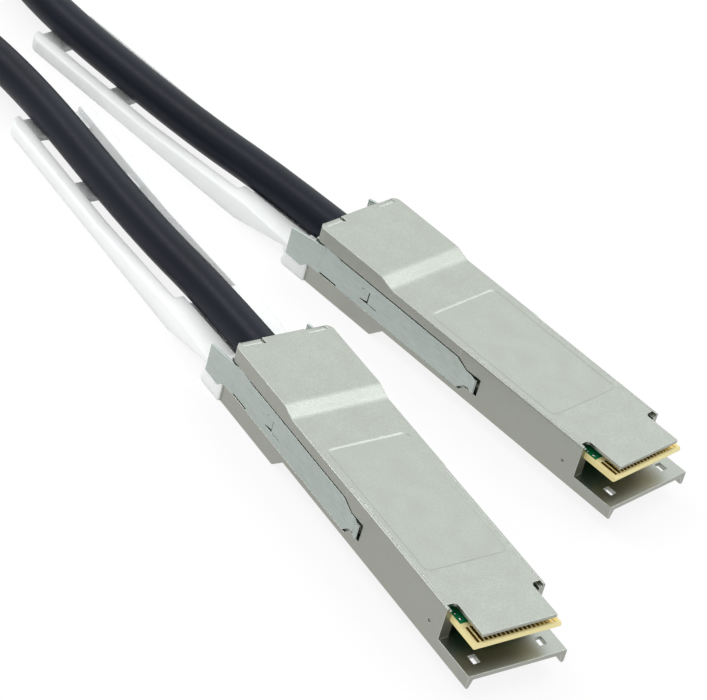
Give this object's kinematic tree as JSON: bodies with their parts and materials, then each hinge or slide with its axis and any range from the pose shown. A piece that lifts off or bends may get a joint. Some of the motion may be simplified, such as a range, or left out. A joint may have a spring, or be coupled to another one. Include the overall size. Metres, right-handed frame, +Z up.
{
  "type": "direct attach copper cable",
  "caption": "Short round black cable with a flat metal pluggable module at either end, each with a card-edge nose, a sprung side latch and a white pull tab.",
  "frame": {"origin": "middle of the underside of plug A's head, on the surface the cable lies on", "axes": "+Y from plug A's nose towards its cable, +X across the plug towards plug B, +Z up"},
  "size_m": [0.0896, 0.2838, 0.0119],
  "materials": {
    "satin_nickel": "satin nickel plate over a zinc casting",
    "card_laminate": "green solder mask on pale glass laminate",
    "gold_plate": "gold plated copper",
    "capacitor_ceramic": "fired ceramic",
    "chip_black": "moulded epoxy",
    "core_foil": "foil shielded pairs",
    "holder_resin": "moulded resin",
    "ferrule_steel": "plated crimp ring",
    "latch_steel": "stamped stainless strip",
    "tab_plastic": "white moulded elastomer",
    "spring_steel": "drawn wire",
    "cable_jacket": "smooth black jacket"
  },
  "bodies": {
    "root": {"base_shell_a": "satin_nickel", "top_cover_a": "satin_nickel", "paddle_card_a": "card_laminate", "upper_contacts_a": "gold_plate", "lower_contacts_a": "gold_plate", "coupling_capacitors_a": "capacitor_ceramic", "memory_chip_a": "chip_black", "core_pairs_a": "core_foil", "core_holder_a": "holder_resin", "crimp_ferrule_a": "ferrule_steel", "left_return_spring_a": "spring_steel", "right_return_spring_a": "spring_steel", "base_shell_b": "satin_nickel", "top_cover_b": "satin_nickel", "paddle_card_b": "card_laminate", "upper_contacts_b": "gold_plate", "lower_contacts_b": "gold_plate", "coupling_capacitors_b": "capacitor_ceramic", "memory_chip_b": "chip_black", "core_pairs_b": "core_foil", "core_holder_b": "holder_resin", "crimp_ferrule_b": "ferrule_steel", "left_return_spring_b": "spring_steel", "right_return_spring_b": "spring_steel", "cable": "cable_jacket"},
    "latch_a": {"latch_slider_a": "latch_steel", "pull_tab_a": "tab_plastic"},
    "latch_b": {"latch_slider_b": "latch_steel", "pull_tab_b": "tab_plastic"}
  },
  "joints": [
    {"name": "latch_a_slide", "type": "slide", "parent": "root", "child": "latch_a", "axis": [0, 1, 0], "range_m": [0, 0.0035], "stiffness_N_per_m": 150, "springref_m": -0.006, "deforming": ["left_return_spring_a", "right_return_spring_a"]},
    {"name": "latch_b_slide", "type": "slide", "parent": "root", "child": "latch_b", "axis": [-0.1925, 0.9813, 0], "range_m": [0, 0.0035], "stiffness_N_per_m": 150, "springref_m": -0.006, "deforming": ["left_return_spring_b", "right_return_spring_b"]}
  ]
}
